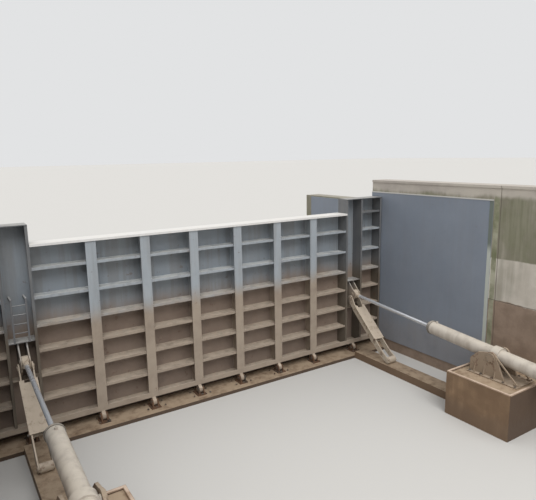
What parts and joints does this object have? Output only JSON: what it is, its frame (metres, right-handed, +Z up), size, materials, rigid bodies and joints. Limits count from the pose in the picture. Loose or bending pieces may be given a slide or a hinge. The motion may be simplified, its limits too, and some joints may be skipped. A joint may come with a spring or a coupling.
{
  "type": "bottom-hinged sluice gate",
  "caption": "Bottom-hinged tilting sluice gate: ribbed steel leaf with an overflow crest between taller ends, side linings, trunnion cylinders, props and concrete abutments.",
  "frame": {"origin": "on the underside of the sill, below the hinge line, midway between the side walls", "axes": "+X along the leaf to the right seen from downstream, +Y upstream, +Z up"},
  "size_m": [17.645, 14.9, 7.36],
  "materials": {
    "concrete": "rough cast concrete, silt stained below the water line",
    "lining_paint": "smooth blue-grey paint",
    "crest_paint": "pale paint, dusty",
    "column_paint": "dark grey paint",
    "leaf_paint": "blue-grey paint with dried silt below",
    "seal_rubber": "matt",
    "pin_steel": "turned",
    "bearing_iron": "cast",
    "rod_chrome": "polished",
    "cylinder_paint": "cream paint, dusty",
    "support_paint": "dusty grey paint"
  },
  "bodies": {
    "root": {"sill_slab": "concrete", "hinge_bearings": "bearing_iron", "hinge_pins": "pin_steel", "left_wall": "concrete", "right_wall": "concrete", "left_lining": "lining_paint", "right_lining": "lining_paint", "left_pier_block": "concrete", "right_pier_block": "concrete", "left_trunnion_stand": "support_paint", "right_trunnion_stand": "support_paint", "left_prop_track": "concrete", "right_prop_track": "concrete"},
    "leaf": {"skin_plate": "leaf_paint", "crest_plate": "crest_paint", "bottom_beam": "leaf_paint", "hinge_lugs": "leaf_paint", "seals": "seal_rubber", "girder_1": "leaf_paint", "girder_2": "leaf_paint", "girder_3": "leaf_paint", "girder_4": "leaf_paint", "girder_5": "leaf_paint", "girder_6": "leaf_paint", "rib_row_1": "leaf_paint", "rib_row_2": "leaf_paint", "rib_row_3": "leaf_paint", "rib_row_4": "leaf_paint", "rib_row_5": "leaf_paint", "rib_row_6": "leaf_paint", "left_box_column": "column_paint", "right_box_column": "column_paint", "left_outer_bay": "leaf_paint", "right_outer_bay": "leaf_paint", "left_drive_bracket": "leaf_paint", "right_drive_bracket": "leaf_paint", "access_ladder": "leaf_paint"},
    "left_cylinder": {"left_barrel": "cylinder_paint", "left_ports": "cylinder_paint", "left_gland": "cylinder_paint", "left_trunnion_collar": "cylinder_paint"},
    "left_piston_rod": {"left_rod": "rod_chrome", "left_rod_eye": "cylinder_paint"},
    "left_prop_strut": {"left_prop": "support_paint"},
    "right_cylinder": {"right_barrel": "cylinder_paint", "right_ports": "cylinder_paint", "right_gland": "cylinder_paint", "right_trunnion_collar": "cylinder_paint"},
    "right_piston_rod": {"right_rod": "rod_chrome", "right_rod_eye": "cylinder_paint"},
    "right_prop_strut": {"right_prop": "support_paint"}
  },
  "joints": [
    {"name": "leaf_tilt", "type": "hinge", "parent": "root", "child": "leaf", "pos_m": [0, 0, 0.28], "axis": [1, 0, 0], "range_deg": [0, 50]},
    {"name": "left_cylinder_swing", "type": "hinge", "parent": "root", "child": "left_cylinder", "pos_m": [-6.425, -6.8, 2.095], "axis": [1, 0, 0], "range_deg": [-8.6, 0]},
    {"name": "left_rod_slide", "type": "slide", "parent": "left_cylinder", "child": "left_piston_rod", "axis": [0, -0.9967, -0.0806], "range_m": [0, 1.797]},
    {"name": "left_prop_fold", "type": "hinge", "parent": "leaf", "child": "left_prop_strut", "pos_m": [-6.425, -0.02, 2.455], "axis": [1, 0, 0], "range_deg": [-68.29, 0]},
    {"name": "right_cylinder_swing", "type": "hinge", "parent": "root", "child": "right_cylinder", "pos_m": [6.425, -6.8, 2.095], "axis": [1, 0, 0], "range_deg": [-8.6, 0]},
    {"name": "right_rod_slide", "type": "slide", "parent": "right_cylinder", "child": "right_piston_rod", "axis": [0, -0.9967, -0.0806], "range_m": [0, 1.797]},
    {"name": "right_prop_fold", "type": "hinge", "parent": "leaf", "child": "right_prop_strut", "pos_m": [6.425, -0.02, 2.455], "axis": [1, 0, 0], "range_deg": [-68.29, 0]}
  ],
  "couplings": [
    {"joint": "left_cylinder_swing", "follows": "leaf_tilt", "ratio": -0.17191},
    {"joint": "left_rod_slide", "follows": "leaf_tilt", "m_per_rad": 2.0586},
    {"joint": "left_prop_fold", "follows": "leaf_tilt", "ratio": -1.3657},
    {"joint": "right_cylinder_swing", "follows": "leaf_tilt", "ratio": -0.17191},
    {"joint": "right_rod_slide", "follows": "leaf_tilt", "m_per_rad": 2.0586},
    {"joint": "right_prop_fold", "follows": "leaf_tilt", "ratio": -1.3657}
  ]
}
